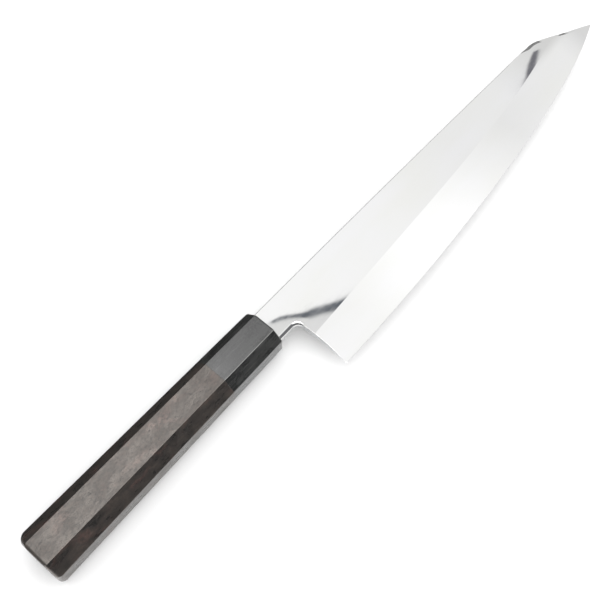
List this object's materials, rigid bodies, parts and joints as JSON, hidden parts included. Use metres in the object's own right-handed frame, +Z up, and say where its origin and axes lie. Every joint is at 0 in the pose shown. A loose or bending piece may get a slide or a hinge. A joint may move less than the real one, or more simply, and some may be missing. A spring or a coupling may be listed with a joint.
{
  "type": "chef knife",
  "caption": "Chef knife with a ridged, mirror-polished blade, a clipped point and a tapered octagonal wooden handle with a black horn ferrule, for slicing and chopping food.",
  "frame": {"origin": "centre of the footprint of the knife lying on its left face, on the surface under it", "axes": "+X along the handle to the point, +Y from the cutting edge to the spine, +Z up, out of the blade's right face"},
  "size_m": [0.3952, 0.0522, 0.0219],
  "materials": {
    "steel": "mirror polished",
    "horn": null,
    "ebony": "dark ebony, finely sanded and oiled",
    "dowel_wood": "bare pale wood",
    "adhesive": "dark cured adhesive"
  },
  "bodies": {
    "root": {"blade": "steel", "ferrule": "horn", "handle_body": "ebony", "tang_dowel": "dowel_wood", "tang_seal": "adhesive"}
  },
  "joints": []
}
